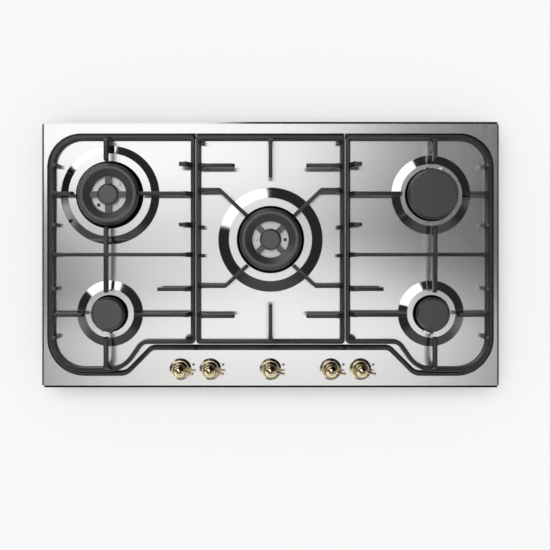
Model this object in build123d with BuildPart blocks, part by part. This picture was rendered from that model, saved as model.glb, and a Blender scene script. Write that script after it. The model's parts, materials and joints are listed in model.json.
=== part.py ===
"""Built-in gas cooktop: pressed steel deck, five burners, cast iron pan supports, brass lever knobs.

Millimetres. The origin is the middle of the burner box's underside, +X is right, +Y is the back
and +Z is up. The worktop that the hob is set into would lie at worktop_z.
"""

import os
from dataclasses import dataclass
from math import atan2, cos, degrees, radians, sin, tan

from build123d import *

os.makedirs("parts", exist_ok=True)

# ---------------------------------------------------------------- driving dimensions
# deck: outline, rim over the worktop, pan well, raised panel for the knobs
deck_width = 860.0
deck_depth = 500.0
sheet = 1.0
deck_corner_r = 5.0
edge_bevel_width = 4.0
edge_bevel_height = 3.0
worktop_z = 52.0
seal_thickness = 1.5
seal_width = 6.5
seal_setback = 0.8
hem_width = 8.0
rim_height = 10.0
well_depth = 7.0
well_slope = 10.0
well_side_margin = 10.0
well_back_margin = 22.0
well_front_margin = 22.0
well_back_r = 64.0
well_front_r = 71.0
panel_half_width = 221.0
panel_depth = 70.5
panel_corner_r = 12.0
panel_foot_r = 30.0
collar_height = 4.5
least_corner_r = 0.5

# burner positions, in from the deck's edges (the centre burner from its back edge)
side_burner_inset = 127.3
rear_burner_inset = 137.4
front_burner_inset = 139.2
centre_burner_inset = 221.6

# burner levels, walls and clearances
flange_height = 4.5
flange_lip = 1.5
crown_height = 11.0
crown_wall = 4.0
cap_height = 7.0
cup_depth = 36.0
cup_wall = 2.5
cup_clearance = 0.5
spread_clearance = 0.3
slot_width = 2.0
slot_depth = 6.0
spreader_floor = 2.5
throat_r = 14.0
ring_inner_r = 37.0
inner_crown_r = 18.5
inner_slots = 20
inner_slot_length = 2.5
bridge_width = 11.0
bridge_count = 4
cap_lip = 1.5
cap_edge = 2.5
cap_shoulder = 4.5
cap_foot_round = 0.8
cap_edge_round = 1.2
cap_top_round = 1.5
ring_cap_inner_r = 34.0
ring_cap_shoulder = 5.0
ring_cap_crest_r = 47.0
ring_cap_inner_edge = 2.0
ring_cap_edge_round = 2.0
ring_cap_top_round = 3.0
ring_cap_crest_round = 8.0
centre_cap_r = 20.0
centre_disc_r = 16.5
centre_cap_height = 4.5
arm_height = 2.6
jet_r = 3.0
jet_stub = 3.0
jet_boss_r = 7.0
jet_boss_height = 8.0
jet_hex_r = 5.0
jet_hex_height = 5.0
jet_hex_sides = 6

# spark electrodes and flame probes
rod_hole_r = 3.2
rod_tail = 14.0
ceramic_r = 2.7
ceramic_stand = 5.0
ceramic_cone = 1.0
spark_pin_r = 0.9
spark_gap = 1.5
rod_collar = 1.6
probe_sleeve_r = 2.2
probe_stand = 3.0
probe_cone = 1.5
probe_tip_r = 1.5
probe_tip_cone = 1.0

# pan supports: outlines in from the deck's edges
support_side_inset = 16.6
support_back_inset = 26.7
side_front_inset = 30.4
centre_front_inset = 82.5
support_seam_x = 141.8
seam_gap = 2.5
support_back_corner_r = 58.0
support_front_corner_r = 63.0
seam_corner_r = 7.0
s_bend_outer_r = 55.0
s_bend_inner_r = 18.5
s_bend_outer = 27.6
s_bend_inner = 63.7

# pan supports: sections, with heights above the floor of the well
bar_top_width = 7.5
bar_foot_width = 8.5
bar_low = 5.0
bar_top = 13.0
bar_chamfer = 1.5
finger_width = 6.5
finger_root_width = 10.0
finger_flare = 16.0
finger_low = 31.0
finger_top = 47.0
finger_rise = 9.0
arch_start = 6.0
arch_end = 20.0
tip_bevel = 3.0
tip_drop = 6.0
leg_side = 7.0
leg_inset = 7.5
leg_top = 6.0
seam_leg_inset = 12.0
foot_height = 3.0
foot_r = 3.5
lug_top = 30.0
lug_width = 6.5
lug_length = 12.0
gusset_length = 26.0

# pan supports: reach of the fingers, from the burner that they point at or the bar that they leave
tip_large = 60.5
tip_small = 41.0
front_inner_tip = 51.5
inner_stub_length = 23.0
long_finger_length = 62.7
rear_lug_offsets = (54.4, -57.1)
front_lug_offsets = (47.3, -43.2)
centre_back_tip = 113.6
centre_front_tip = 119.6
back_arm_offset = 90.9
back_arm_bend_x = 93.6
back_arm_tip = (42.5, 42.4)
front_arm_offset = -86.3
front_arm_bend_x = 83.5
front_arm_tip = (42.6, -48.3)
short_finger_from_back = 59.3
short_finger_from_front = 54.5
short_finger_x = 66.0
centre_lug_offsets = (22.6, -30.4)

# knobs and bezels
knob_inset = 35.0
knob_xs = (-169.0, -113.0, 0.0, 113.0, 169.0)
bezel_r = 20.5
bezel_height = 6.0
bezel_edge = 2.0
bezel_crest_r = 15.5
bezel_bore = 9.6
bezel_dish = 2.5
bezel_edge_round = 1.0
bezel_crest_round = 3.0
bezel_bore_round = 0.8
ball_r = 12.2
ball_height = 24.0
lever_r = 2.5
lever_reach = 27.5
lever_angle = -14.0
lever_taper = 0.7
lever_tip_r = 2.9
knob_push = 4.0
knob_collar_r = 8.6
knob_clearance = 0.5
panel_hole_r = 6.0

# taps: spindle, plug, housing and the ignition switch on top
spindle_r = 4.0
spindle_fit = 0.06
spindle_stand = 18.0
spindle_flat = 1.2
flat_start = 4.0
plug_r = 7.0
plug_fit = 0.05
plug_seat = 4.0
plug_socket = 14.3
tap_body_r = 13.0
tap_height = 21.0
tap_foot_inset = 3.0
tap_foot_height = 4.0
outlet_wall = 2.0
outlet_length = 5.0
switch_length = 26.0
switch_width = 18.0
switch_height = 7.0
switch_clearance = 0.5
switch_corner_r = 2.0

# gas line
manifold_r = 8.0
manifold_z = 23.0
tube_r = 4.0
tube_z = 38.0
tube_bend_r = 20.0
manifold_overrun = 17.0
manifold_bend_r = 24.0
inlet_from_side = 44.0
inlet_from_back = 46.0
inlet_thread_r = 10.48
inlet_bore_r = 7.0
inlet_low = 2.0
inlet_hole_r = 18.0
elbow_r = 13.0
elbow_wall = 2.5
elbow_socket = 8.0
thread_chamfer = 0.8

# burner box, set back from the deck's edges
box_setback = 14.0
box_corner_r = 12.0
box_sheet = 1.0
box_gap = 0.1
box_fillet = 3.0
vent_block_x = 200.0
vent_from_back = 86.0
vent_pitch = 14.0
vent_length = 40.0
vent_width = 4.0
vent_count = 8
vent_rows = 1

# screws that hold the cups' posts to the box, and clamps that hold the hob in the worktop
post_r = 5.0
screw_r = 2.0
screw_gap = 0.15
screw_head_r = 3.8
screw_length = 12.0
clamp_ys = (-90.0, 90.0)
clamp_top = 44.0
clamp_width = 22.0
clamp_sheet = 2.0
clamp_reach = 12.0
clamp_leg = 26.0

# ignition module and terminal block
module_x = -175.0
module_y = -20.0
module_length = 78.0
module_width = 46.0
module_height = 24.0
module_corner_r = 3.0
module_edge_round = 1.5
module_outlets = 5
module_outlet_r = 3.0
module_outlet_height = 6.0
terminal_from_side = 56.0
terminal_from_back = 31.0
terminal_length = 52.0
terminal_width = 30.0
terminal_height = 26.0
terminal_corner_r = 2.0
terminal_holes = 3
terminal_hole_r = 3.5
terminal_hole_depth = 8.0

# ---------------------------------------------------------------- derived levels and places
rim_z = worktop_z + rim_height
floor_z = rim_z - well_depth
hem_z = worktop_z + seal_thickness
plateau_z = floor_z + collar_height
flange_z = plateau_z + flange_height
crown_z = flange_z + crown_height
cap_z = crown_z + cap_height
slope_angle = degrees(atan2(well_depth, well_slope))
bevel_angle = degrees(atan2(edge_bevel_height, edge_bevel_width))
post_angles = (90.0, 270.0)

half_width = deck_width / 2
half_depth = deck_depth / 2
side_burner_x = half_width - side_burner_inset
rear_burner_y = half_depth - rear_burner_inset
front_burner_y = front_burner_inset - half_depth
centre_burner_y = half_depth - centre_burner_inset
knob_y = knob_inset - half_depth
box_half_width = half_width - box_setback
box_half_depth = half_depth - box_setback


@dataclass
class BurnerSize:
    """Radii of one size of burner, its flame slots, and the circles of its posts and rods."""

    collar_top: float
    hole: float
    base: float
    crown: float
    cap: float
    slots: int
    post: float
    rod: float


@dataclass
class Burner:
    """One burner: its size, where it stands, how far its collar spreads and where its rods stand."""

    name: str
    size: BurnerSize
    x: float
    y: float
    collar_foot: float
    spark_angle: float
    probe_angle: float
    bridge_turn: float = 0.0


large = BurnerSize(collar_top=78.0, hole=41.0, base=63.5, crown=57.0, cap=58.0,
                   slots=44, post=24.0, rod=27.5)
medium = BurnerSize(collar_top=57.9, hole=34.0, base=50.0, crown=45.0, cap=47.5,
                    slots=36, post=22.0, rod=50.5)
small = BurnerSize(collar_top=45.3, hole=24.0, base=35.0, crown=29.5, cap=31.5,
                   slots=24, post=15.0, rod=36.0)
small_collar_foot = 62.5

rear_left = Burner("rear_left", large, -side_burner_x, rear_burner_y, collar_foot=93.3,
                   spark_angle=45.0, probe_angle=225.0)
centre = Burner("centre", large, 0.0, centre_burner_y, collar_foot=98.7,
                spark_angle=180.0, probe_angle=0.0, bridge_turn=45.0)
rear_right = Burner("rear_right", medium, side_burner_x, rear_burner_y, collar_foot=74.9,
                    spark_angle=72.0, probe_angle=100.0)
front_left = Burner("front_left", small, -side_burner_x, front_burner_y, collar_foot=small_collar_foot,
                    spark_angle=-115.0, probe_angle=-86.0)
front_right = Burner("front_right", small, side_burner_x, front_burner_y, collar_foot=small_collar_foot,
                     spark_angle=-112.0, probe_angle=-90.0)
burners = (rear_left, centre, rear_right, front_left, front_right)
ring_burners = (rear_left, centre)
plain_burners = (rear_right, front_left, front_right)


# ---------------------------------------------------------------- helpers
def save(shape, name):
    """Name a finished piece and write it."""
    shape.label = name
    export_step(shape, f"parts/{name}.step")


def inset_outline(corners, radii, inset):
    """Corners and radii of a counter-clockwise outline moved inwards by inset."""
    moved, rounded = [], []
    count = len(corners)
    for i in range(count):
        here = Vector(*corners[i])
        side_in = (here - Vector(*corners[i - 1])).normalized()
        side_out = (Vector(*corners[(i + 1) % count]) - here).normalized()
        normal_in = Vector(-side_in.Y, side_in.X)
        normal_out = Vector(-side_out.Y, side_out.X)
        turn = side_in.X * side_out.Y - side_in.Y * side_out.X
        moved.append(here + (normal_in + normal_out) * (inset / (1 + normal_in.dot(normal_out))))
        rounded.append(max(radii[i] - inset, least_corner_r) if turn > 0 else radii[i] + inset)
    return moved, rounded


def outline_face(corners, radii, inset, z):
    """Flat face of an outline, moved inwards by inset, at level z."""
    moved, rounded = inset_outline(corners, radii, inset)
    with BuildSketch(Plane.XY.offset(z)) as flat:
        with BuildLine():
            FilletPolyline(*moved, radius=rounded, close=True)
        make_face()
    return flat.sketch


def tapered(corners, radii, low_z, low_inset, high_z, high_inset, mode=Mode.ADD):
    """Block between two levels whose outline shrinks or grows on the way up."""
    low = outline_face(corners, radii, low_inset, low_z)
    high = outline_face(corners, radii, high_inset, high_z)
    loft(sections=[low, high], ruled=True, mode=mode)


def turned(points, x, y, rounds=None, mode=Mode.ADD):
    """Ring or disc about a vertical axis at x, y from a profile of (radius, level) points."""
    with BuildSketch(Plane(origin=(x, y, 0), x_dir=(1, 0, 0), z_dir=(0, -1, 0))) as profile:
        with BuildLine():
            if rounds:
                FilletPolyline(*points, radius=rounds, close=True)
            else:
                Polyline(*points, close=True)
        make_face()
    revolve(profile.sketch, axis=Axis((x, y, 0), (0, 0, 1)), mode=mode)


def post(x, y, radius, low_z, high_z, mode=Mode.ADD):
    """Round post or, subtracted, a round hole."""
    with BuildSketch(Plane((x, y, low_z))) as disc:
        Circle(radius)
    extrude(disc.sketch, amount=high_z - low_z, mode=mode)


def at_angle(burner, radius, angle):
    """Point at a radius and angle from a burner's centre."""
    return burner.x + radius * cos(radians(angle)), burner.y + radius * sin(radians(angle))


def rectangle_corners(half_x, half_y):
    return [(half_x, half_y), (-half_x, half_y), (-half_x, -half_y), (half_x, -half_y)]


# ---------------------------------------------------------------- deck
deck_corners = rectangle_corners(half_width, half_depth)
deck_radii = [deck_corner_r] * 4
well_x = half_width - well_side_margin
well_back_y = half_depth - well_back_margin
well_front_y = well_front_margin - half_depth
panel_back_y = panel_depth - half_depth
panel_foot_x = panel_half_width + panel_back_y - well_front_y
well_corners = [
    (well_x, well_back_y),
    (-well_x, well_back_y),
    (-well_x, well_front_y),
    (-panel_foot_x, well_front_y),
    (-panel_half_width, panel_back_y),
    (panel_half_width, panel_back_y),
    (panel_foot_x, well_front_y),
    (well_x, well_front_y),
]
well_radii = [
    well_back_r,
    well_back_r,
    well_front_r,
    panel_foot_r,
    panel_corner_r,
    panel_corner_r,
    panel_foot_r,
    well_front_r,
]


def deck_envelope(depth, low_z):
    """The deck's outer form moved inwards by depth: rim block, pan well and burner collars."""
    shift = depth * tan(radians(slope_angle / 2))
    with BuildPart() as form:
        bevel_low = rim_z - edge_bevel_height - depth * tan(radians(45 - bevel_angle / 2))
        extrude(outline_face(deck_corners, deck_radii, depth, low_z), amount=bevel_low - low_z)
        tapered(deck_corners, deck_radii, bevel_low, depth, rim_z - depth,
                edge_bevel_width + depth * tan(radians(bevel_angle / 2)))
        tapered(well_corners, well_radii, floor_z - depth, well_slope - shift, rim_z - depth, -shift,
                mode=Mode.SUBTRACT)
        for burner in burners:
            collar_angle = atan2(collar_height, burner.collar_foot - burner.size.collar_top)
            narrow = depth * tan(collar_angle / 2)
            turned([(0, low_z), (burner.collar_foot - narrow, low_z),
                    (burner.collar_foot - narrow, floor_z - depth),
                    (burner.size.collar_top - narrow, plateau_z - depth), (0, plateau_z - depth)],
                   burner.x, burner.y)
    return form.part


# ---------------------------------------------------------------- piece: deck
with BuildPart() as hem:
    tapered(deck_corners, deck_radii, hem_z, sheet / 2, hem_z + sheet, sheet / 2)
    tapered(deck_corners, deck_radii, hem_z, hem_width, hem_z + sheet, hem_width, mode=Mode.SUBTRACT)

with BuildPart() as hob_deck:
    add(deck_envelope(0.0, hem_z))
    add(deck_envelope(sheet, hem_z), mode=Mode.SUBTRACT)
    add(hem.part)
    for burner in burners:
        post(burner.x, burner.y, burner.size.hole, hem_z, plateau_z + sheet, mode=Mode.SUBTRACT)
    for burner in plain_burners:
        for angle in (burner.spark_angle, burner.probe_angle):
            post(*at_angle(burner, burner.size.rod, angle), rod_hole_r, hem_z, plateau_z + sheet,
                 mode=Mode.SUBTRACT)
    for knob_x in knob_xs:
        post(knob_x, knob_y, panel_hole_r, hem_z, rim_z + sheet, mode=Mode.SUBTRACT)
save(hob_deck.part, "hob_deck")

# ---------------------------------------------------------------- piece: worktop seal
with BuildPart() as worktop_seal:
    tapered(deck_corners, deck_radii, worktop_z, seal_setback, hem_z, seal_setback)
    tapered(deck_corners, deck_radii, worktop_z, seal_setback + seal_width,
            hem_z, seal_setback + seal_width, mode=Mode.SUBTRACT)
save(worktop_seal.part, "worktop_seal")

# ---------------------------------------------------------------- piece: burner box
box_corners = rectangle_corners(box_half_width, box_half_depth)
box_radii = [box_corner_r] * 4
inlet_x = box_half_width - inlet_from_side
inlet_y = box_half_depth - inlet_from_back
post_places = [at_angle(burner, burner.size.post, angle) for burner in burners for angle in post_angles]
with BuildPart() as burner_box:
    tapered(box_corners, box_radii, 0.0, 0.0, rim_z, 0.0)
    fillet(burner_box.faces().sort_by(Axis.Z)[0].edges(), box_fillet)
    with BuildPart(mode=Mode.SUBTRACT) as box_space:
        tapered(box_corners, box_radii, box_sheet, box_sheet, rim_z, box_sheet)
        fillet(box_space.faces().sort_by(Axis.Z)[0].edges(), box_fillet - box_sheet)
    trim_depth = sheet + box_gap
    add(deck_envelope(trim_depth, -sheet), mode=Mode.INTERSECT)
    with BuildSketch(Plane.XY) as vents:
        for vent_x in (-vent_block_x, vent_block_x):
            with Locations((vent_x, box_half_depth - vent_from_back)):
                with GridLocations(vent_pitch, vent_length + vent_pitch, vent_count, vent_rows):
                    SlotOverall(vent_length, vent_width, rotation=90)
    extrude(vents.sketch, amount=box_sheet, mode=Mode.SUBTRACT)
    post(inlet_x, inlet_y, inlet_hole_r, 0.0, box_sheet, mode=Mode.SUBTRACT)
    for post_x, post_y in post_places:
        post(post_x, post_y, screw_r + screw_gap, 0.0, box_sheet, mode=Mode.SUBTRACT)
        turned([(0, 0), (screw_head_r + screw_gap, 0), (screw_r + screw_gap, box_sheet), (0, box_sheet)],
               post_x, post_y, mode=Mode.SUBTRACT)
save(burner_box.part, "burner_box")


# ---------------------------------------------------------------- burners
def cup(burner):
    """Aluminium burner cup: flange on the collar, bucket through the deck, two screw posts."""
    bucket_r = burner.size.hole - cup_clearance
    bucket_low = plateau_z - cup_depth
    with BuildPart() as body:
        turned([(bucket_r - cup_wall, flange_z), (burner.size.base - flange_height, flange_z),
                (burner.size.base, plateau_z + flange_lip), (burner.size.base, plateau_z),
                (bucket_r, plateau_z), (bucket_r, bucket_low), (jet_r + spread_clearance, bucket_low),
                (jet_r + spread_clearance, bucket_low + jet_boss_height),
                (jet_boss_r, bucket_low + jet_boss_height), (jet_boss_r, bucket_low + cup_wall),
                (bucket_r - cup_wall, bucket_low + cup_wall)], burner.x, burner.y)
        for angle in post_angles:
            post_x, post_y = at_angle(burner, burner.size.post, angle)
            post(post_x, post_y, post_r, box_sheet, bucket_low + cup_wall)
            post(post_x, post_y, screw_r, box_sheet, bucket_low + cup_wall, mode=Mode.SUBTRACT)
        for angle in (burner.spark_angle, burner.probe_angle):
            rod_x, rod_y = at_angle(burner, burner.size.rod, angle)
            post(rod_x, rod_y, rod_hole_r, bucket_low, flange_z, mode=Mode.SUBTRACT)
    return body.part


def ring_spreader(burner):
    """Aluminium spreader with an outer and an inner crown joined by four flame bridges."""
    crown_r = burner.size.crown
    spreader_floor_z = flange_z + spreader_floor
    with BuildPart() as body:
        turned([(throat_r, flange_z), (crown_r, flange_z), (crown_r, crown_z),
                (crown_r - crown_wall, crown_z), (crown_r - crown_wall, spreader_floor_z),
                (ring_inner_r + crown_wall, spreader_floor_z), (ring_inner_r + crown_wall, crown_z),
                (ring_inner_r, crown_z), (ring_inner_r, spreader_floor_z),
                (inner_crown_r, spreader_floor_z), (inner_crown_r, crown_z),
                (throat_r, crown_z)], burner.x, burner.y)
        with BuildSketch(Plane((burner.x, burner.y, flange_z))) as bridges:
            bridge_mid_r = (ring_inner_r + inner_crown_r) / 2
            with PolarLocations(bridge_mid_r, bridge_count, start_angle=burner.bridge_turn):
                Rectangle(ring_inner_r - inner_crown_r + crown_wall, bridge_width)
        extrude(bridges.sketch, amount=crown_height)
        with BuildSketch(Plane((burner.x, burner.y, crown_z - slot_depth))) as slots:
            with PolarLocations(crown_r - crown_wall / 2, burner.size.slots):
                Rectangle(crown_wall * 2, slot_width)
            inner_start = burner.bridge_turn + 180 / inner_slots
            with PolarLocations(inner_crown_r, inner_slots, start_angle=inner_start):
                Rectangle(inner_slot_length * 2, slot_width)
        extrude(slots.sketch, amount=slot_depth, mode=Mode.SUBTRACT)
        for angle in (burner.spark_angle, burner.probe_angle):
            rod_x, rod_y = at_angle(burner, burner.size.rod, angle)
            post(rod_x, rod_y, rod_hole_r, flange_z, crown_z, mode=Mode.SUBTRACT)
    return body.part


def plain_spreader(burner):
    """Aluminium spreader with one toothed crown."""
    crown_r = burner.size.crown
    spreader_floor_z = flange_z + spreader_floor
    with BuildPart() as body:
        turned([(throat_r, flange_z), (crown_r, flange_z), (crown_r, crown_z),
                (crown_r - crown_wall, crown_z), (crown_r - crown_wall, spreader_floor_z),
                (throat_r, spreader_floor_z)], burner.x, burner.y)
        with BuildSketch(Plane((burner.x, burner.y, crown_z - slot_depth))) as slots:
            with PolarLocations(crown_r - crown_wall / 2, burner.size.slots):
                Rectangle(crown_wall * 2, slot_width)
        extrude(slots.sketch, amount=slot_depth, mode=Mode.SUBTRACT)
    return body.part


def plain_cap(burner):
    """Enamelled steel cap: flat disc with a sloping shoulder and a locating lip below."""
    lip_r = burner.size.crown - crown_wall - spread_clearance
    with BuildPart() as body:
        turned([(0, crown_z), (lip_r - cap_lip, crown_z), (lip_r - cap_lip, crown_z - cap_lip),
                (lip_r, crown_z - cap_lip), (lip_r, crown_z), (burner.size.cap, crown_z),
                (burner.size.cap, crown_z + cap_edge), (burner.size.cap - cap_shoulder, cap_z), (0, cap_z)],
               burner.x, burner.y, rounds=[0, 0, 0, 0, 0, cap_foot_round, cap_edge_round, cap_top_round, 0])
    return body.part


def ring_cap(burner):
    """Enamelled ring cap, highest near its middle and dished towards the opening."""
    lip_r = burner.size.crown - crown_wall - spread_clearance
    with BuildPart() as body:
        turned([(ring_cap_inner_r, crown_z), (lip_r - cap_lip, crown_z), (lip_r - cap_lip, crown_z - cap_lip),
                (lip_r, crown_z - cap_lip), (lip_r, crown_z), (burner.size.cap, crown_z),
                (burner.size.cap, crown_z + cap_edge), (burner.size.cap - ring_cap_shoulder, cap_z),
                (ring_cap_crest_r, cap_z), (ring_cap_inner_r, crown_z + ring_cap_inner_edge)],
               burner.x, burner.y,
               rounds=[0, 0, 0, 0, 0, cap_foot_round, ring_cap_edge_round, ring_cap_top_round,
                       ring_cap_crest_round, cap_foot_round])
    return body.part


def centre_cap(burner):
    """Small enamelled cap with four arms that cover the flame bridges."""
    arm_reach = ring_cap_inner_r - spread_clearance
    lip_r = throat_r - spread_clearance
    with BuildPart() as body:
        turned([(0, crown_z), (centre_cap_r, crown_z), (centre_cap_r, crown_z + arm_height),
                (centre_disc_r, crown_z + centre_cap_height), (0, crown_z + centre_cap_height)],
               burner.x, burner.y, rounds=[0, 0, cap_foot_round, cap_foot_round, 0])
        with BuildSketch(Plane((burner.x, burner.y, crown_z))) as arms:
            with PolarLocations(arm_reach / 2, bridge_count, start_angle=burner.bridge_turn):
                Rectangle(arm_reach, bridge_width)
            Circle(arm_reach, mode=Mode.INTERSECT)
        extrude(arms.sketch, amount=arm_height)
        turned([(0, crown_z - cap_lip), (lip_r, crown_z - cap_lip), (lip_r, crown_z), (0, crown_z)],
               burner.x, burner.y)
    return body.part


for burner in burners:
    save(cup(burner), f"burner_cup_{burner.name}")
for burner in ring_burners:
    save(ring_spreader(burner), f"spreader_{burner.name}")
    save(ring_cap(burner), f"ring_cap_{burner.name}")
    save(centre_cap(burner), f"centre_cap_{burner.name}")
for burner in plain_burners:
    save(plain_spreader(burner), f"spreader_{burner.name}")
    save(plain_cap(burner), f"cap_{burner.name}")

# ---------------------------------------------------------------- piece: injectors
with BuildPart() as gas_jets:
    for burner in burners:
        jet_low = plateau_z - cup_depth - jet_stub
        post(burner.x, burner.y, jet_r, jet_low, plateau_z - cup_depth + jet_boss_height)
        with BuildSketch(Plane((burner.x, burner.y, plateau_z - cup_depth + jet_boss_height))) as nut:
            RegularPolygon(jet_hex_r, jet_hex_sides)
        extrude(nut.sketch, amount=jet_hex_height)
save(gas_jets.part, "gas_jets")

# ---------------------------------------------------------------- pieces: spark electrodes and probes
with BuildPart() as spark_electrodes:
    for burner in burners:
        rod_x, rod_y = at_angle(burner, burner.size.rod, burner.spark_angle)
        clip_z = plateau_z - sheet if burner in plain_burners else plateau_z - cup_depth
        turned([(0, clip_z - rod_tail), (ceramic_r, clip_z - rod_tail), (ceramic_r, clip_z - rod_collar),
                (ceramic_r + rod_collar, clip_z - rod_collar), (ceramic_r + rod_collar, clip_z),
                (ceramic_r, clip_z), (ceramic_r, flange_z + ceramic_stand),
                (spark_pin_r, flange_z + ceramic_stand + ceramic_cone), (spark_pin_r, crown_z - spark_gap),
                (0, crown_z - spark_gap)], rod_x, rod_y)
save(spark_electrodes.part, "spark_electrodes")

with BuildPart() as flame_probes:
    for burner in burners:
        rod_x, rod_y = at_angle(burner, burner.size.rod, burner.probe_angle)
        clip_z = plateau_z - sheet if burner in plain_burners else plateau_z - cup_depth
        turned([(0, clip_z - rod_tail), (probe_sleeve_r, clip_z - rod_tail),
                (probe_sleeve_r, clip_z - rod_collar), (ceramic_r + rod_collar, clip_z - rod_collar),
                (ceramic_r + rod_collar, clip_z), (probe_sleeve_r, clip_z),
                (probe_sleeve_r, flange_z + probe_stand),
                (probe_tip_r, flange_z + probe_stand + probe_cone),
                (probe_tip_r, crown_z - spark_gap - probe_tip_cone),
                (probe_tip_r / 2, crown_z - spark_gap), (0, crown_z - spark_gap)], rod_x, rod_y)
save(flame_probes.part, "flame_probes")

# ---------------------------------------------------------------- pieces: taps, spindles and knobs
tap_low = manifold_z + manifold_r
tap_top = tap_low + tap_height


def tap_body(x):
    """Tap housing on the manifold, bored for its plug, with an outlet boss at the back."""
    with BuildPart() as body:
        turned([(0, tap_low), (tap_body_r - tap_foot_inset, tap_low), (tap_body_r, tap_low + tap_foot_height),
                (tap_body_r, tap_top), (0, tap_top)], x, knob_y)
        with BuildSketch(Plane(origin=(x, knob_y, tube_z), x_dir=(1, 0, 0), z_dir=(0, 1, 0))) as outlet:
            Circle(tube_r + outlet_wall)
        extrude(outlet.sketch, amount=tap_body_r + outlet_length)
        post(x, knob_y, plug_r + plug_fit, tap_low + plug_seat, tap_top, mode=Mode.SUBTRACT)
    return body.part


def tap_plug(x):
    """Brass plug that turns in the tap, bored for the spindle that slides in it."""
    with BuildPart() as body:
        post(x, knob_y, plug_r, tap_low + plug_seat, tap_top)
        post(x, knob_y, spindle_r + spindle_fit, tap_top - plug_socket, tap_top, mode=Mode.SUBTRACT)
    return body.part


def tap_spindle(x):
    """Steel spindle with a flat for the knob."""
    with BuildPart() as body:
        post(x, knob_y, spindle_r, tap_top - plug_socket + knob_push, rim_z + spindle_stand)
        with BuildSketch(Plane((x, knob_y - spindle_r, rim_z + flat_start))) as flat:
            Rectangle(spindle_r * 2, spindle_flat * 2)
        extrude(flat.sketch, amount=spindle_stand, mode=Mode.SUBTRACT)
    return body.part


def knob(x):
    """Turned brass ball on a collar, with a tapered lever screwed into its side."""
    collar_low = rim_z + knob_push + knob_clearance
    ball_z = rim_z + ball_height
    turn = radians(lever_angle)
    reach = Plane(origin=(x, knob_y, ball_z), x_dir=(cos(turn), sin(turn), 0),
                  z_dir=(sin(turn), -cos(turn), 0))
    with BuildPart() as body:
        post(x, knob_y, knob_collar_r, collar_low, ball_z)
        with Locations((x, knob_y, ball_z)):
            Sphere(ball_r)
        rod_end = lever_reach - lever_tip_r
        with BuildSketch(reach) as rod:
            with BuildLine():
                Polyline((0, 0), (0, lever_r), (rod_end, lever_r - lever_taper), (rod_end, 0), close=True)
            make_face()
        revolve(rod.sketch, axis=Axis(reach.origin, reach.x_dir))
        with Locations(reach.origin + reach.x_dir * rod_end):
            Sphere(lever_tip_r)
        post(x, knob_y, spindle_r, collar_low, rim_z + spindle_stand, mode=Mode.SUBTRACT)
    return body.part


for index, knob_x in enumerate(knob_xs, start=1):
    save(tap_body(knob_x), f"tap_body_{index}")
    save(tap_plug(knob_x), f"tap_plug_{index}")
    save(tap_spindle(knob_x), f"tap_spindle_{index}")
    save(knob(knob_x), f"knob_{index}")

with BuildPart() as knob_bezels:
    for knob_x in knob_xs:
        turned([(bezel_bore, rim_z), (bezel_r, rim_z), (bezel_r, rim_z + bezel_edge),
                (bezel_crest_r, rim_z + bezel_height), (bezel_bore, rim_z + bezel_height - bezel_dish)],
               knob_x, knob_y, rounds=[0, 0, bezel_edge_round, bezel_crest_round, bezel_bore_round])
save(knob_bezels.part, "knob_bezels")

with BuildPart() as ignition_switches:
    for knob_x in knob_xs:
        with BuildSketch(Plane((knob_x, knob_y, tap_top))) as case:
            RectangleRounded(switch_length, switch_width, switch_corner_r)
            Circle(spindle_r + switch_clearance, mode=Mode.SUBTRACT)
        extrude(case.sketch, amount=switch_height)
save(ignition_switches.part, "ignition_switches")

# ---------------------------------------------------------------- pieces: gas line
with BuildPart() as gas_manifold:
    with BuildLine() as run:
        FilletPolyline((knob_xs[0] - manifold_overrun, knob_y, manifold_z), (inlet_x, knob_y, manifold_z),
                       (inlet_x, inlet_y - elbow_r, manifold_z), radius=manifold_bend_r)
    with BuildSketch(Plane(origin=run.line @ 0, z_dir=run.line % 0)):
        Circle(manifold_r)
    sweep()
save(gas_manifold.part, "gas_manifold")

thread_top = manifold_z - manifold_r - elbow_wall
elbow_top = manifold_z + manifold_r + elbow_wall
with BuildPart() as gas_inlet:
    turned([(0, inlet_low), (inlet_thread_r - thread_chamfer, inlet_low),
            (inlet_thread_r, inlet_low + thread_chamfer), (inlet_thread_r, thread_top),
            (elbow_r, thread_top), (elbow_r, elbow_top), (0, elbow_top)], inlet_x, inlet_y)
    pipe_end = Plane(origin=(inlet_x, inlet_y - elbow_r, manifold_z), z_dir=(0, -1, 0))
    with BuildSketch(pipe_end.offset(-elbow_r)) as socket:
        Circle(manifold_r + elbow_wall)
    extrude(socket.sketch, amount=elbow_r + elbow_socket)
    with BuildSketch(pipe_end) as pipe_seat:
        Circle(manifold_r)
    extrude(pipe_seat.sketch, amount=elbow_socket, mode=Mode.SUBTRACT)
    post(inlet_x, inlet_y, inlet_bore_r, inlet_low, manifold_z, mode=Mode.SUBTRACT)
save(gas_inlet.part, "gas_inlet")

# ---------------------------------------------------------------- pieces: gas tubes, ignition and terminals
fed_burners = (front_left, rear_left, centre, rear_right, front_right)
with BuildPart() as gas_tubes:
    for knob_x, burner in zip(knob_xs, fed_burners):
        start = (knob_x, knob_y + tap_body_r + outlet_length, tube_z)
        bucket_r = burner.size.hole - cup_clearance
        if burner is centre:
            with BuildLine() as route:
                Line(start, (knob_x, burner.y - bucket_r, tube_z))
        else:
            side = 1.0 if burner.x < 0 else -1.0
            with BuildLine() as route:
                FilletPolyline(start, (knob_x, burner.y, tube_z),
                               (burner.x + side * bucket_r, burner.y, tube_z), radius=tube_bend_r)
        with BuildSketch(Plane(origin=route.line @ 0, z_dir=route.line % 0)) as section:
            Circle(tube_r)
        sweep(sections=section.sketch, path=route.line)
save(gas_tubes.part, "gas_tubes")

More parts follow.
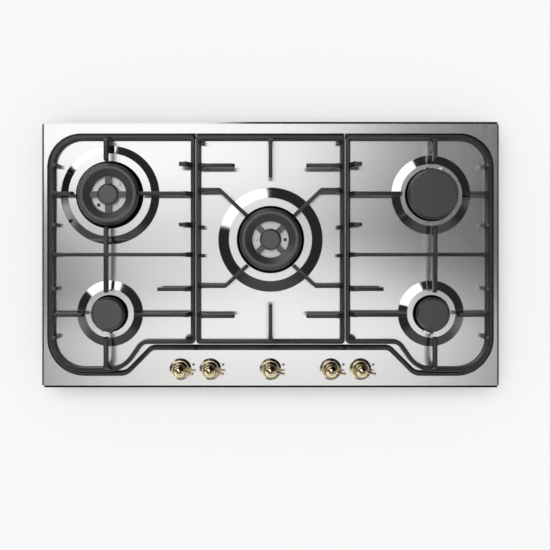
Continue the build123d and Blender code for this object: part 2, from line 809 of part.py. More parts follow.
with BuildPart() as ignition_module:
    with BuildSketch(Plane((module_x, module_y, box_sheet))):
        RectangleRounded(module_length, module_width, module_corner_r)
    extrude(amount=module_height)
    fillet(ignition_module.faces().sort_by(Axis.Z)[-1].edges(), module_edge_round)
    with BuildSketch(Plane((module_x, module_y, box_sheet + module_height))):
        with GridLocations(module_length / module_outlets, 0, module_outlets, 1):
            Circle(module_outlet_r)
    extrude(amount=module_outlet_height)
save(ignition_module.part, "ignition_module")

terminal_x = terminal_from_side - box_half_width
terminal_y = box_half_depth - terminal_from_back
with BuildPart() as terminal_block:
    with BuildSketch(Plane((terminal_x, terminal_y, box_sheet))):
        RectangleRounded(terminal_length, terminal_width, terminal_corner_r)
    extrude(amount=terminal_height)
    with BuildSketch(Plane((terminal_x, terminal_y, box_sheet + terminal_height))):
        with GridLocations(terminal_length / terminal_holes, 0, terminal_holes, 1):
            Circle(terminal_hole_r)
    extrude(amount=-terminal_hole_depth, mode=Mode.SUBTRACT)
save(terminal_block.part, "terminal_block")

# ---------------------------------------------------------------- pieces: screws and worktop clamps
with BuildPart() as box_screws:
    for post_x, post_y in post_places:
        turned([(0, 0), (screw_head_r, 0), (screw_r, box_sheet), (screw_r, screw_length), (0, screw_length)],
               post_x, post_y)
save(box_screws.part, "box_screws")

with BuildPart() as worktop_clamps:
    for side in (-1.0, 1.0):
        for clamp_y in clamp_ys:
            with BuildSketch(Plane(origin=(0, clamp_y, 0), x_dir=(side, 0, 0), z_dir=(0, -side, 0))) as strip:
                with BuildLine():
                    Polyline((box_half_width, clamp_top), (box_half_width, clamp_top - clamp_leg),
                             (box_half_width + clamp_sheet, clamp_top - clamp_leg),
                             (box_half_width + clamp_sheet, clamp_top - clamp_sheet),
                             (box_half_width + clamp_reach, clamp_top - clamp_sheet),
                             (box_half_width + clamp_reach, clamp_top), close=True)
                make_face()
            extrude(strip.sketch, amount=clamp_width / 2, both=True)
save(worktop_clamps.part, "worktop_clamps")


# ---------------------------------------------------------------- pan supports
def finger(start, end, bevelled=True, risen=False):
    """Cast finger: a deep narrow bar from start to end, which rises in an arch from its low frame bar."""
    reach = Vector(*end) - Vector(*start)
    length = reach.length
    along = reach.normalized()
    side_view = Plane(origin=(start[0], start[1], floor_z), x_dir=(along.X, along.Y, 0),
                      z_dir=(along.Y, -along.X, 0))
    top_view = Plane(origin=(start[0], start[1], floor_z), x_dir=(along.X, along.Y, 0), z_dir=(0, 0, 1))
    if risen:
        root_width = finger_width
        points = [(0, finger_low), (0, finger_top)]
    else:
        root_width = finger_root_width
        points = [(arch_end, finger_low), (arch_start, bar_low), (0, bar_low), (0, bar_top),
                  (finger_rise, finger_top)]
    if bevelled:
        points += [(length - tip_bevel, finger_top), (length, finger_top - tip_drop)]
    else:
        points.append((length, finger_top))
    points.append((length, finger_low))
    plan = [(0, root_width / 2), (0, -root_width / 2), (finger_flare, -finger_width / 2),
            (length, -finger_width / 2), (length, finger_width / 2), (finger_flare, finger_width / 2)]
    with BuildPart() as bar:
        with BuildSketch(side_view) as profile:
            with BuildLine():
                Polyline(*points, close=True)
            make_face()
        extrude(profile.sketch, amount=finger_root_width, both=True)
        with BuildSketch(top_view) as outline:
            with BuildLine():
                Polyline(*plan, close=True)
            make_face()
        extrude(outline.sketch, amount=finger_top, mode=Mode.INTERSECT)
    add(bar.part)


def lug(x, y, side):
    """Short pointed stub that rises from a side bar towards the middle, side = 1 or -1."""
    with BuildSketch(Plane(origin=(x, y, floor_z), x_dir=(side, 0, 0), z_dir=(0, -side, 0))) as profile:
        with BuildLine():
            Polyline((0, bar_low), (0, bar_top), (finger_rise, lug_top), (lug_length, lug_top),
                     (lug_length, bar_low), close=True)
        make_face()
    extrude(profile.sketch, amount=lug_width / 2, both=True)


def block(x, y, size_x, size_y, low, high):
    """Upright rectangular leg or web between two heights above the well's floor."""
    with BuildSketch(Plane((x, y, floor_z + low))) as foot:
        Rectangle(size_x, size_y)
    extrude(foot.sketch, amount=high - low)


def frame(corners, radii):
    """Rounded ring of bars, upright outside, sloping inside, with a small bevel on its outer top edge."""
    tapered(corners, radii, floor_z + bar_low, 0.0, floor_z + bar_top - bar_chamfer, 0.0)
    tapered(corners, radii, floor_z + bar_top - bar_chamfer, 0.0, floor_z + bar_top, bar_chamfer)
    tapered(corners, radii, floor_z + bar_low, bar_foot_width, floor_z + bar_top,
            bar_top_width, mode=Mode.SUBTRACT)


support_outer_x = half_width - support_side_inset
support_back_y = half_depth - support_back_inset
side_front_y = side_front_inset - half_depth
centre_front_y = centre_front_inset - half_depth
side_corners = [
    (-support_seam_x, support_back_y),
    (-support_outer_x, support_back_y),
    (-support_outer_x, side_front_y),
    (s_bend_outer - side_burner_x, side_front_y),
    (s_bend_inner - side_burner_x, centre_front_y),
    (-support_seam_x, centre_front_y),
]
side_radii = [
    seam_corner_r,
    support_back_corner_r,
    support_front_corner_r,
    s_bend_outer_r,
    s_bend_inner_r,
    seam_corner_r,
]
bar_mid = bar_top_width / 2
side_lug_ys = [rear_burner_y + offset for offset in rear_lug_offsets]
side_lug_ys += [front_burner_y + offset for offset in front_lug_offsets]
side_leg_places = [
    (leg_inset - support_outer_x, side_lug_ys[0]),
    (leg_inset - support_outer_x, side_lug_ys[3]),
    (-support_seam_x - bar_mid, side_lug_ys[0]),
    (-support_seam_x - bar_mid, centre_front_y + seam_leg_inset),
    (-side_burner_x, side_front_y + leg_inset),
]

with BuildPart() as left_support:
    frame(side_corners, side_radii)
    outer_x = bar_mid - support_outer_x
    inner_x = -support_seam_x - bar_mid
    burner_x = -side_burner_x
    back_y = support_back_y - bar_mid
    front_y = side_front_y + bar_mid
    finger((burner_x, back_y), (burner_x, rear_burner_y + tip_large))
    finger((burner_x, 0), (burner_x, rear_burner_y - tip_large), risen=True)
    finger((burner_x, 0), (burner_x, front_burner_y + tip_small), risen=True)
    finger((burner_x, front_y), (burner_x, front_burner_y - tip_small))
    finger((outer_x, rear_burner_y), (burner_x - tip_large, rear_burner_y))
    finger((inner_x, rear_burner_y), (burner_x + tip_large, rear_burner_y))
    finger((outer_x, front_burner_y), (burner_x - tip_small, front_burner_y))
    finger((inner_x, front_burner_y), (burner_x + front_inner_tip, front_burner_y))
    finger((outer_x, 0), (burner_x, 0), bevelled=False)
    finger((inner_x, 0), (burner_x, 0), bevelled=False)
    finger((inner_x, side_lug_ys[2]), (inner_x - long_finger_length, side_lug_ys[2]))
    for stub_y in side_lug_ys[0:2]:
        finger((inner_x, stub_y), (inner_x - inner_stub_length, stub_y))
    for lug_y in side_lug_ys:
        lug(outer_x, lug_y, 1.0)
    lug(inner_x, centre_front_y + seam_leg_inset, -1.0)
    block(burner_x, back_y - gusset_length / 2, finger_width, gusset_length, bar_low, finger_low)
    for leg_x, leg_y in side_leg_places:
        block(leg_x, leg_y, leg_side, leg_side, foot_height, leg_top)
with BuildPart() as left_feet:
    for leg_x, leg_y in side_leg_places:
        post(leg_x, leg_y, foot_r, floor_z, floor_z + foot_height)
save(left_support.part, "pan_support_left")
save(left_feet.part, "feet_left_support")
save(mirror(left_support.part, about=Plane.YZ), "pan_support_right")
save(mirror(left_feet.part, about=Plane.YZ), "feet_right_support")


# ---------------------------------------------------------------- middle pan support
def arm(side, bar_y, bend, tip):
    """Arm that leaves a side bar squarely and then turns towards the middle burner."""
    finger((side * side_bar_x, bar_y), (side * bend, bar_y), bevelled=False)
    post(side * bend, bar_y, finger_width / 2, floor_z + finger_low, floor_z + finger_top)
    finger((side * bend, bar_y), (side * tip[0], centre_burner_y + tip[1]), risen=True)


centre_support_x = support_seam_x - seam_gap
centre_corners = [
    (centre_support_x, support_back_y),
    (-centre_support_x, support_back_y),
    (-centre_support_x, centre_front_y),
    (centre_support_x, centre_front_y),
]
centre_radii = [seam_corner_r] * 4
side_bar_x = centre_support_x - bar_mid
corner_leg_ys = (support_back_y - seam_leg_inset, centre_front_y + seam_leg_inset)
short_finger_ys = (support_back_y - short_finger_from_back, centre_front_y + short_finger_from_front)
with BuildPart() as centre_support:
    frame(centre_corners, centre_radii)
    finger((0, support_back_y - bar_mid), (0, centre_burner_y + centre_back_tip))
    finger((0, centre_front_y + bar_mid), (0, centre_burner_y - centre_front_tip))
    for side in (-1.0, 1.0):
        arm(side, centre_burner_y + back_arm_offset, back_arm_bend_x, back_arm_tip)
        arm(side, centre_burner_y + front_arm_offset, front_arm_bend_x, front_arm_tip)
        for short_y in short_finger_ys:
            finger((side * side_bar_x, short_y), (side * short_finger_x, short_y))
        for offset in centre_lug_offsets:
            lug(side * side_bar_x, centre_burner_y + offset, -side)
        lug(side * side_bar_x, corner_leg_ys[0], -side)
        for leg_y in corner_leg_ys:
            block(side * side_bar_x, leg_y, leg_side, leg_side, foot_height, leg_top)
with BuildPart() as centre_feet:
    for side in (-1.0, 1.0):
        for leg_y in corner_leg_ys:
            post(side * side_bar_x, leg_y, foot_r, floor_z, floor_z + foot_height)
save(centre_support.part, "pan_support_centre")
save(centre_feet.part, "feet_centre_support")
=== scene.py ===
import json
from math import radians

import bmesh
import bpy
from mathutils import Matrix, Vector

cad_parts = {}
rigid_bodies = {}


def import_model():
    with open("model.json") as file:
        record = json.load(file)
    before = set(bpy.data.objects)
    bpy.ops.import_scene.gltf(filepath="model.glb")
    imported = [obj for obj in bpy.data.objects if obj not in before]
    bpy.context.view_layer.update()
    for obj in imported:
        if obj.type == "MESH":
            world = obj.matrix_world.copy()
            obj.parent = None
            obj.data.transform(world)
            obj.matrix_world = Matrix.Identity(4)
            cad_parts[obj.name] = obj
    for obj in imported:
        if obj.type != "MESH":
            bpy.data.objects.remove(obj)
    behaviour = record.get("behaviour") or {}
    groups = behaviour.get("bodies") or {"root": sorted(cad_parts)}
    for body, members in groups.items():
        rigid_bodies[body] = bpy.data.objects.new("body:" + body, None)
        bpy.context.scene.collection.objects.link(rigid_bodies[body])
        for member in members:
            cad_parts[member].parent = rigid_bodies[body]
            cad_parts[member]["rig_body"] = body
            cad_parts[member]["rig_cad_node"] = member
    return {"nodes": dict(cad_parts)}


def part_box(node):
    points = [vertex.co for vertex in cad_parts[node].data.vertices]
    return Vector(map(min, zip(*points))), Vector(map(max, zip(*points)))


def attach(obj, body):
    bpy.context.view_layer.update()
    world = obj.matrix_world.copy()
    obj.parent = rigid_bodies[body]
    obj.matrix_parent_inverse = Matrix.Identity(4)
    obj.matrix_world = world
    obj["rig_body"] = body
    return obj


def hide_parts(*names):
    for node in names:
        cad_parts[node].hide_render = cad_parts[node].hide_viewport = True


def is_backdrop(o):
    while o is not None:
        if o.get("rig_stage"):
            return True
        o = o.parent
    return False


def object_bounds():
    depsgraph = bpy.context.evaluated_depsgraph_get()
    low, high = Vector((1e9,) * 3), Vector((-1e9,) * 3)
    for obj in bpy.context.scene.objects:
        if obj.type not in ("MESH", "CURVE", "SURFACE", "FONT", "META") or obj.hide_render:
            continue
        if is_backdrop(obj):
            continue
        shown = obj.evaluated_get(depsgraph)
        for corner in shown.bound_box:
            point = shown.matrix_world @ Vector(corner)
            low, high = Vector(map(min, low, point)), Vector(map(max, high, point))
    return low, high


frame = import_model()
cad_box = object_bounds()
nodes = frame["nodes"]
bpy.ops.object.select_all(action="DESELECT")
bpy.context.scene.view_settings.view_transform = "Standard"


# ---------------------------------------------------------------- deck
# One pressed sheet of AISI 304 stainless steel. Its flats are brushed from front to back, so they mirror
# sharply along the grain and smear across it, and they scatter a tenth of the light. The drawing die
# leaves the sloping walls and collars polished, and so is the rolled edge.
def linear(hex_colour):
    """sRGB hex value as the linear colour that a shader socket takes."""
    channels = [int(hex_colour[i:i + 2], 16) / 255 for i in (1, 3, 5)]
    return (*[c / 12.92 if c <= 0.04045 else ((c + 0.055) / 1.055) ** 2.4 for c in channels], 1.0)


def new_material(name, hex_colour, metallic=0.0, roughness=0.5):
    """Node material with fixed colour, metallic and roughness: returns it, its tree and its shader."""
    material = bpy.data.materials.new(name)
    material.use_nodes = True
    shader = material.node_tree.nodes["Principled BSDF"]
    shader.inputs["Base Color"].default_value = linear(hex_colour)
    shader.inputs["Metallic"].default_value = metallic
    shader.inputs["Roughness"].default_value = roughness
    return material, material.node_tree, shader


def add_node(tree, kind, settings=None, **links):
    """One shader node. settings are its attributes. links are its inputs by name, or _0, _1 by number."""
    made = tree.nodes.new("ShaderNode" + kind)
    for key, value in (settings or {}).items():
        setattr(made, key, value)
    for name, value in links.items():
        socket = made.inputs[int(name[1:])] if name[1:].isdigit() else made.inputs[name.replace("_", " ")]
        if isinstance(value, bpy.types.NodeSocket):
            tree.links.new(value, socket)
        else:
            socket.default_value = value
    return made


def maths(tree, operation, *values):
    """Output of one Math node."""
    made = add_node(tree, "Math", {"operation": operation}, **{f"_{i}": v for i, v in enumerate(values)})
    return made.outputs[0]


def ramp(tree, value, low, high, from_low, from_high, smooth=True):
    """Value carried from one range to another, held at the ends."""
    kind = "SMOOTHSTEP" if smooth else "LINEAR"
    made = add_node(tree, "MapRange", {"interpolation_type": kind}, Value=value, From_Min=from_low,
                    From_Max=from_high, To_Min=low, To_Max=high)
    return made.outputs[0]


def tint(tree, shader, hex_low, hex_high, factor):
    """Base colour that varies between two colours."""
    made = add_node(tree, "Mix", {"data_type": "RGBA"})
    tree.links.new(factor, made.inputs[0])
    made.inputs[6].default_value = linear(hex_low)
    made.inputs[7].default_value = linear(hex_high)
    tree.links.new(made.outputs[2], shader.inputs["Base Color"])


def noise(tree, grain_mm, detail=3.0, stretch=(1.0, 1.0, 1.0)):
    """Noise whose grains are about so many millimetres across, on the piece's own coordinates."""
    place = add_node(tree, "TexCoord").outputs["Object"]
    scaled = add_node(tree, "Mapping", Vector=place, Scale=[1000.0 / (grain_mm * s) for s in stretch])
    made = add_node(tree, "TexNoise", Vector=scaled.outputs[0], Scale=1.0, Detail=detail)
    return made.outputs[0]


def paint(piece, material):
    """Give a piece one material all over."""
    piece.data.materials.clear()
    piece.data.materials.append(material)


def merged_copy(name, new_name):
    """A copy of a CAD node with its loose triangles joined, and its open mesh."""
    made = nodes[name].copy()
    made.data = nodes[name].data.copy()
    made.name = new_name
    made.parent = None
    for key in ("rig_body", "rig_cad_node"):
        if key in made:
            del made[key]
    bpy.context.collection.objects.link(made)
    mesh = bmesh.new()
    mesh.from_mesh(made.data)
    bmesh.ops.remove_doubles(mesh, verts=mesh.verts, dist=1e-5)
    return made, mesh


def apply_modifier(piece, modifier):
    """Apply one modifier to a piece."""
    bpy.ops.object.select_all(action="DESELECT")
    piece.select_set(True)
    bpy.context.view_layer.objects.active = piece
    bpy.ops.object.modifier_apply(modifier=modifier.name)
    piece.select_set(False)


rim_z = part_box("hob_deck")[1].z
well_z = rim_z - 0.007
plateau_z = well_z + 0.0045
flat_fit = 0.0002
rolled_from_x, rolled_from_y = 0.4262, 0.2462
polish_rough = 0.04
brushed_steel, tree, shader = new_material("brushed_stainless_steel", "#e4e4e3", metallic=1.0)
place = add_node(tree, "SeparateXYZ", _0=add_node(tree, "TexCoord").outputs["Object"])
level = place.outputs[2]
sloping = maths(tree, "MULTIPLY", maths(tree, "GREATER_THAN", level, well_z + flat_fit),
                maths(tree, "LESS_THAN", level, rim_z - flat_fit))
from_plateau = maths(tree, "ABSOLUTE", maths(tree, "SUBTRACT", level, plateau_z))
polished = maths(tree, "MULTIPLY", sloping, maths(tree, "GREATER_THAN", from_plateau, flat_fit))
for axis, rolled_from in ((0, rolled_from_x), (1, rolled_from_y)):
    rolled = maths(tree, "GREATER_THAN", maths(tree, "ABSOLUTE", place.outputs[axis]), rolled_from)
    polished = maths(tree, "MAXIMUM", polished, rolled)
brushed = maths(tree, "SUBTRACT", 1.0, polished)
# the grain is drawn 1.2 mm wide and 72 mm long, far coarser than the real one, so that it shows
grain = noise(tree, 1.2, stretch=(1.0, 60.0, 1.0))
grain_rough = ramp(tree, grain, 0.125, 0.15, 0.3, 0.7, smooth=False)
roughness = maths(tree, "ADD", maths(tree, "MULTIPLY", grain_rough, brushed),
                  maths(tree, "MULTIPLY", polished, polish_rough))
tree.links.new(roughness, shader.inputs["Roughness"])
scattered = maths(tree, "MULTIPLY", brushed, 0.1)
tree.links.new(maths(tree, "SUBTRACT", 1.0, scattered), shader.inputs["Metallic"])
tint(tree, shader, "#dededd", "#e9e9e8", grain)
shader.inputs["Anisotropic"].default_value = 1.0
across = add_node(tree, "CombineXYZ", _0=1.0, _1=0.0, _2=0.0)
tree.links.new(across.outputs[0], shader.inputs["Tangent"])

# The copy's edge between the flat and each slope is rounded, as a press leaves it.
press_round_m = 0.0015
bend_least, bend_most = radians(25), radians(50)
sharp_from = radians(9)
pressed_deck, mesh = merged_copy("hob_deck", "pressed_deck")


def is_pressed_edge(edge):
    """An edge of the rim's flat where the sheet bends down, not one of a hole."""
    at_rim = all(abs(vert.co.z - rim_z) < 1e-4 for vert in edge.verts)
    return at_rim and len(edge.link_faces) == 2 and bend_least < edge.calc_face_angle(0.0) < bend_most


bends = [edge for edge in mesh.edges if is_pressed_edge(edge)]
rounded = bmesh.ops.bevel(mesh, geom=bends, offset=press_round_m, segments=4, profile=0.5, affect="EDGES",
                          clamp_overlap=True)
soft_faces = set(rounded["faces"])
for face in mesh.faces:
    face.smooth = True
for edge in mesh.edges:
    sharp = edge.calc_face_angle(0.0) > sharp_from
    edge.smooth = not sharp or any(face in soft_faces for face in edge.link_faces)
mesh.to_mesh(pressed_deck.data)
mesh.free()
even_shading = pressed_deck.modifiers.new("even shading", "WEIGHTED_NORMAL")
even_shading.keep_sharp = True
apply_modifier(pressed_deck, even_shading)
paint(pressed_deck, brushed_steel)
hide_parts("hob_deck")
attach(pressed_deck, "root")

# ---------------------------------------------------------------- worktop seal
# Closed-cell EPDM foam strip, cut square and glued under the rim.
def bump(tree, shader, height, depth_mm):
    """Relief of that depth from a height between 0 and 1."""
    made = add_node(tree, "Bump", Strength=1.0, Distance=depth_mm / 1000, Height=height)
    tree.links.new(made.outputs[0], shader.inputs["Normal"])


foam, tree, shader = new_material("epdm_foam", "#1c1c1c", roughness=0.95)
bump(tree, shader, noise(tree, 0.6), 0.15)
paint(nodes["worktop_seal"], foam)

# ---------------------------------------------------------------- burner box
# Folded box of galvanised sheet, with the spangle of hot-dip zinc.
galvanised, tree, shader = new_material("galvanised_steel", "#a9adb0", metallic=1.0, roughness=0.42)
place = add_node(tree, "TexCoord").outputs["Object"]
spangles_per_m = 110.0
cells = add_node(tree, "TexVoronoi", {"feature": "F1"}, Vector=place, Scale=spangles_per_m)
spangle = cells.outputs["Color"]
tint(tree, shader, "#9ea2a6", "#c3c7c9", spangle)
tree.links.new(ramp(tree, spangle, 0.34, 0.5, 0.0, 1.0, smooth=False), shader.inputs["Roughness"])
paint(nodes["burner_box"], galvanised)

# ---------------------------------------------------------------- burners: cups and spreaders
# Die-cast aluminium, coloured near black on skirt and flange as painted shade: the shade under the caps and
# the dark caps it mirrors.
# In the two ring burners the floor inside the ring keeps the bright blasted aluminium colour; the other
# three are painted dark all over.
def distance_from(tree, x, y):
    """Distance in plan from a point, on the piece's own coordinates."""
    place = add_node(tree, "TexCoord").outputs["Object"]
    offset = add_node(tree, "VectorMath", {"operation": "SUBTRACT"}, _0=place, _1=(x, y, 0.0))
    flat = add_node(tree, "VectorMath", {"operation": "MULTIPLY"}, _0=offset.outputs[0], _1=(1.0, 1.0, 0.0))
    return add_node(tree, "VectorMath", {"operation": "LENGTH"}, _0=flat.outputs[0]).outputs["Value"]


def middle(name):
    """Middle of a CAD node's box."""
    low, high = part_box(name)
    return (low + high) / 2


bright_floor_r = 0.036
for name in ("rear_left", "centre", "rear_right", "front_left", "front_right"):
    cast, tree, shader = new_material(f"die_cast_aluminium_{name}", "#e3e3df", metallic=1.0, roughness=0.38)
    if name in ("rear_left", "centre"):
        burner_middle = middle(f"burner_cup_{name}")
        reach = distance_from(tree, burner_middle.x, burner_middle.y)
        # painted shade: near black outside the bright floor, standing for the shade under the cap
        painted_shade_outside_floor = ramp(tree, reach, 0.0, 1.0, bright_floor_r - 0.0005, bright_floor_r + 0.0005)
        tint(tree, shader, "#e3e3df", "#161616", painted_shade_outside_floor)
    else:
        # painted shade: cup and spreader near black all over, standing for the shade under the cap
        shader.inputs["Base Color"].default_value = linear("#161616")
    bump(tree, shader, noise(tree, 0.5), 0.03)
    paint(nodes[f"spreader_{name}"], cast)
    paint(nodes[f"burner_cup_{name}"], cast)

# ---------------------------------------------------------------- burner caps
# Pressed steel in matt black vitreous enamel: a glassy skin, slightly orange-peeled as fired.
glass_ior = 1.62
enamel, tree, shader = new_material("matt_black_enamel", "#2b2b2b", roughness=0.4)
shader.inputs["IOR"].default_value = glass_ior
shader.inputs["Coat Weight"].default_value = 1.0
shader.inputs["Coat Roughness"].default_value = 0.32
shader.inputs["Coat IOR"].default_value = glass_ior
bump(tree, shader, noise(tree, 1.6, detail=1.0), 0.02)
tint(tree, shader, "#242424", "#2c2c2c", noise(tree, 9.0))
for name in ("ring_cap_rear_left", "ring_cap_centre", "centre_cap_rear_left", "centre_cap_centre",
             "cap_rear_right", "cap_front_left", "cap_front_right"):
    paint(nodes[name], enamel)

# ---------------------------------------------------------------- electrodes, probes and jets
# Glazed alumina round a steel pin, stainless probe sleeves, and brass jets.
alumina, tree, shader = new_material("glazed_alumina", "#efece4", roughness=0.18)
tint(tree, shader, "#e8e4da", "#f4f2ec", noise(tree, 2.0))
paint(nodes["spark_electrodes"], alumina)
probe_steel, tree, shader = new_material("drawn_stainless_steel", "#b8b7b3", metallic=1.0, roughness=0.3)
tint(tree, shader, "#aaa9a4", "#c4c3c0", noise(tree, 1.0, stretch=(1.0, 1.0, 20.0)))
paint(nodes["flame_probes"], probe_steel)
machined_brass, tree, shader = new_material("machined_brass", "#c9a45c", metallic=1.0, roughness=0.3)
tint(tree, shader, "#bf9950", "#d3b06c", noise(tree, 1.0, stretch=(1.0, 1.0, 0.2)))
for name in ["gas_jets", "gas_inlet"] + [f"tap_plug_{i}" for i in range(1, 6)]:
    paint(nodes[name], machined_brass)

# ---------------------------------------------------------------- pan supports
# Grey cast iron, shot-blasted and coated in matt black enamel. Casting rounds every edge.
iron, tree, shader = new_material("enamelled_cast_iron", "#1a1a1a", roughness=0.4)
shader.inputs["IOR"].default_value = 1.75
bump(tree, shader, noise(tree, 1.4, detail=4.0), 0.035)
tint(tree, shader, "#151515", "#1f1f1f", noise(tree, 12.0))
edge_round_m = 0.0008
flat_within, bevel_from, smooth_to = radians(0.5), radians(28), radians(40)
for side in ("left", "centre", "right"):
    name = f"pan_support_{side}"
    casting, mesh = merged_copy(name, f"cast_{name}")
    bmesh.ops.dissolve_limit(mesh, angle_limit=flat_within, verts=mesh.verts, edges=mesh.edges)
    mesh.to_mesh(casting.data)
    mesh.free()
    rounding = casting.modifiers.new("cast edges", "BEVEL")
    rounding.width = edge_round_m
    rounding.segments = 2
    rounding.limit_method = "ANGLE"
    rounding.angle_limit = bevel_from
    apply_modifier(casting, rounding)
    casting.select_set(True)
    bpy.ops.object.shade_smooth_by_angle(angle=smooth_to)
    paint(casting, iron)
    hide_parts(name)
    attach(casting, name)
    casting.select_set(False)

# ---------------------------------------------------------------- support feet
# Silicone rubber, moulded, dulled by its own bloom.
rubber, tree, shader = new_material("silicone_rubber", "#202020", roughness=0.8)
bump(tree, shader, noise(tree, 0.4), 0.05)
for side in ("left", "centre", "right"):
    paint(nodes[f"feet_{side}_support"], rubber)

# ---------------------------------------------------------------- knobs and bezels
# Pale brass, turned, polished to a mirror and lacquered: dark where the room is dark, cream where it is
# light. The bezels are satined a little after turning.
polished_brass, tree, shader = new_material("polished_brass", "#f6e3ba", metallic=1.0, roughness=0.05)
tint(tree, shader, "#f2dcae", "#f9e9c6", noise(tree, 4.0))
satin_brass, tree, shader = new_material("satin_brass", "#ece2c8", metallic=1.0, roughness=0.16)
tint(tree, shader, "#e8dcbe", "#f0e8d4", noise(tree, 4.0))
bump(tree, shader, noise(tree, 0.3, stretch=(1.0, 1.0, 0.3)), 0.003)
paint(nodes["knob_bezels"], satin_brass)
for i in range(1, 6):
    paint(nodes[f"knob_{i}"], polished_brass)

# ---------------------------------------------------------------- index marks
# Beside each knob a dot shows where off is, screen-printed on the steel in grey enamel ink and fired.
printed_ink, tree, shader = new_material("screen_printed_enamel", "#6f6877", roughness=0.5)
tint(tree, shader, "#68606f", "#797280", noise(tree, 0.8))
mark_r, mark_height = 0.0026, 0.0001
mark_along, mark_back = 0.0242, 0.0085
for i in range(1, 6):
    knob_middle = middle(f"tap_spindle_{i}")
    place = (knob_middle.x + mark_along, knob_middle.y + mark_back, rim_z + mark_height / 2)
    bpy.ops.mesh.primitive_cylinder_add(vertices=40, radius=mark_r, depth=mark_height, location=place)
    mark = bpy.context.object
    mark.name = f"index_mark_{i}"
    bpy.ops.object.transform_apply(location=True, rotation=True, scale=True)
    thin_edge = mark.modifiers.new("thin edge", "BEVEL")
    thin_edge.width = mark_height * 0.4
    apply_modifier(mark, thin_edge)
    paint(mark, printed_ink)
    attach(mark, "root")

# ---------------------------------------------------------------- taps, gas line and ignition
# Hot-stamped aluminium taps, drawn aluminium tube, zinc-plated steel and black PBT inside the box.
tap_cast, tree, shader = new_material("stamped_aluminium", "#b4b5b6", metallic=1.0, roughness=0.45)
bump(tree, shader, noise(tree, 0.8), 0.04)
drawn, tree, shader = new_material("drawn_aluminium", "#c4c5c7", metallic=1.0, roughness=0.3)
tint(tree, shader, "#b8babc", "#cfd0d2", noise(tree, 1.5))
plated, tree, shader = new_material("zinc_plated_steel", "#b5b8bb", metallic=1.0, roughness=0.32)
tint(tree, shader, "#a9adb2", "#c2c4c4", noise(tree, 3.0))
pbt, tree, shader = new_material("moulded_pbt", "#222223", roughness=0.55)
bump(tree, shader, noise(tree, 0.5), 0.02)
for i in range(1, 6):
    paint(nodes[f"tap_body_{i}"], tap_cast)
    paint(nodes[f"tap_spindle_{i}"], plated)
for name in ("gas_manifold", "gas_tubes"):
    paint(nodes[name], drawn)
for name in ("box_screws", "worktop_clamps"):
    paint(nodes[name], plated)
for name in ("ignition_module", "terminal_block", "ignition_switches"):
    paint(nodes[name], pbt)

# ---------------------------------------------------------------- camera
# It looks straight down on the middle of the deck from about 1.56 m above the well, with a small shift.
camera_above_rim = 1.553
sensor_mm = 36.0
view_width_at_rim = 1.0341
frame_px = 550
deck_middle_px = (270.5, 254.65)
bpy.ops.object.camera_add(location=(0.0, 0.0, rim_z + camera_above_rim))
camera = bpy.context.object
camera.data.sensor_width = sensor_mm
camera.data.lens = sensor_mm * camera_above_rim / view_width_at_rim
camera.data.shift_x = (frame_px / 2 - deck_middle_px[0]) / frame_px
camera.data.shift_y = (deck_middle_px[1] - frame_px / 2) / frame_px
bpy.context.scene.camera = camera

# ---------------------------------------------------------------- studio
# What the metal mirrors. u and v are how far right and back a direction leans for each metre it rises.
# Two soft boxes hang overhead, one behind and one in front, with a dimmer gap between them, and a third
# far back. Low screens stand round the hob, the room's walls are dim, and its ceiling is dark. Matt
# surfaces get plain light from above.
world = bpy.data.worlds.new("studio")
bpy.context.scene.world = world
world.use_nodes = True
tree = world.node_tree
tree.nodes.clear()
direction = add_node(tree, "TexCoord").outputs["Generated"]
dx, dy, dz = add_node(tree, "SeparateXYZ", _0=direction).outputs
height = maths(tree, "MAXIMUM", dz, 0.05)
u = maths(tree, "DIVIDE", dx, height)
v = maths(tree, "DIVIDE", dy, height)
flat_length = maths(tree, "SQRT", maths(tree, "SUBTRACT", 1.0, maths(tree, "MULTIPLY", dz, dz)))
sideways = maths(tree, "DIVIDE", dx, maths(tree, "MAXIMUM", flat_length, 0.01))


def above(value, at, soft):
    """1 where the value is well above at, 0 well below, with a soft edge."""
    return ramp(tree, value, 0.0, 1.0, at - soft, at + soft)


def below(value, at, soft):
    """1 where the value is well below at, 0 well above, with a soft edge."""
    return ramp(tree, value, 1.0, 0.0, at - soft, at + soft)


def combine(operation, *values):
    """Values joined two by two: their sum, product, least or most."""
    total = values[0]
    for value in values[1:]:
        total = maths(tree, operation, total, value)
    return total


def plus(*values):
    """Sum of values."""
    return combine("ADD", *values)


def times(*values):
    """Product of values."""
    return combine("MULTIPLY", *values)


def least(*values):
    """Least of values."""
    return combine("MINIMUM", *values)


def most(*values):
    """Most of values."""
    return combine("MAXIMUM", *values)


def band(value, low, high, soft_low, soft_high):
    """1 between low and high, 0 outside, with soft edges."""
    return times(above(value, low, soft_low), below(value, high, soft_high))


# Soft boxes: their right edge is narrowest beside the gap, and their left edge behind it.
front_end_v, back_end_v, gap_v = -0.27, 0.86, 0.03
from_gap = plus(v, -gap_v)
right_near = plus(0.085, most(times(from_gap, 0.25), times(from_gap, -1.25)))
right_far = plus(0.254, times(v, -0.52))
right_edge = least(right_near, right_far, 0.235)
left_near = plus(0.18, maths(tree, "ABSOLUTE", plus(v, 0.04)), times(0.12, above(v, 0.10, 0.05)))
left_front = plus(0.245, times(2.0, most(v, 0.0)))
left_edge = least(left_near, left_front)
near_boxes = times(below(plus(u, times(right_edge, -1.0)), 0.0, 0.02), above(plus(u, left_edge), 0.0, 0.03))
far_box = times(above(v, 0.66, 0.01), band(u, -0.75, -0.15, 0.02, 0.01))
gap = band(v, -0.035, 0.065, 0.045, 0.045)
more_behind = times(0.22, above(v, -0.125, 0.05))
more_far_behind = times(0.10, above(v, 0.07, 0.05))
box_light = plus(1.06, more_far_behind, more_behind, times(-0.20, gap))
boxes = times(box_light, most(near_boxes, far_box), band(v, front_end_v, back_end_v, 0.03, 0.02))

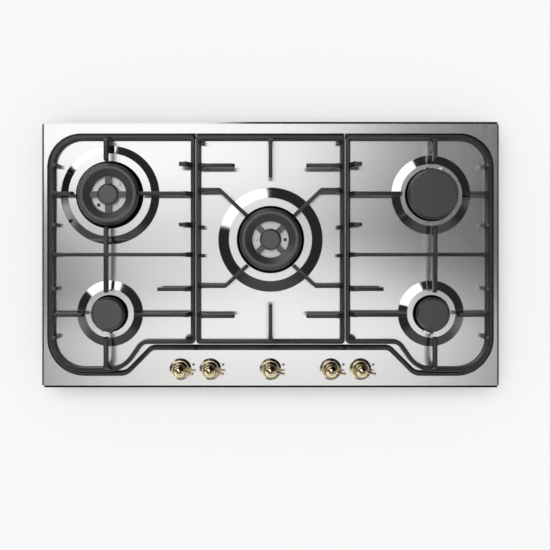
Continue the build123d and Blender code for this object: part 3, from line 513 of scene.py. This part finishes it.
# Screens, walls and ceiling: each is a band of dz, how steeply the direction rises.
behind, in_front = above(dy, 0.0, 0.01), below(dy, 0.0, 0.01)
low_screen = times(behind, below(dz, 0.30, 0.05), band(sideways, -0.97, -0.05, 0.02, 0.03))
front_screen = times(in_front, band(dz, 0.16, 0.42, 0.02, 0.03), band(sideways, -0.95, 0.66, 0.03, 0.05))
side_screen = times(in_front, below(dz, 0.42, 0.03), band(sideways, -0.95, -0.42, 0.03, 0.04))
screen_light = 1.05
screens = times(screen_light, most(low_screen, front_screen, side_screen))
front_wall = times(0.4, below(dy, 0.0, 0.1), band(dz, 0.165, 0.73, 0.02, 0.03))
back_wall = times(0.25, above(dy, 0.0, 0.1), band(dz, 0.40, 0.62, 0.02, 0.03),
                  band(sideways, -0.92, -0.25, 0.03, 0.05))
overhead = above(dz, 0.68, 0.08)
ceiling = plus(0.004, times(0.02, overhead), times(0.05, below(v, -0.40, 0.10), overhead))
mirror_light = most(ceiling, front_wall, back_wall, boxes, screens)
plain_light = 0.5
ray = add_node(tree, "LightPath").outputs
glossy = add_node(tree, "Mix", {"data_type": "FLOAT"}, _0=ray["Is Glossy Ray"], _2=plain_light)
tree.links.new(mirror_light, glossy.inputs[3])
seen = add_node(tree, "Mix", {"data_type": "FLOAT"}, _0=ray["Is Camera Ray"], _3=1.0)
tree.links.new(glossy.outputs[0], seen.inputs[2])
background = add_node(tree, "Background", Color=(1.0, 1.0, 1.0, 1.0))
tree.links.new(seen.outputs[0], background.inputs["Strength"])
output = tree.nodes.new("ShaderNodeOutputWorld")
tree.links.new(background.outputs[0], output.inputs["Surface"])

sky_height = 3.0
sky_lean, sky_spread = radians(-8), radians(60)
bpy.ops.object.light_add(type="SUN", location=(0.0, 0.0, sky_height), rotation=(sky_lean, sky_lean, 0.0))
sky_lamp = bpy.context.object
sky_lamp.data.energy = 1.7
sky_lamp.data.angle = sky_spread
sky_lamp.visible_glossy = False

# ---------------------------------------------------------------- floor
# Plain pale ground just under the burner box.
floor_width, floor_gap = 60.0, 0.0005
bpy.ops.mesh.primitive_plane_add(size=floor_width, location=(0.0, 0.0, -floor_gap))
floor = bpy.context.object
floor.name = "floor"
pale, tree, shader = new_material("pale_floor", "#f7f7f7", roughness=0.9)
paint(floor, pale)
floor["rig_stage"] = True

boxes = {"cad": [list(corner) for corner in cad_box], "visual": [list(corner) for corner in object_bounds()]}
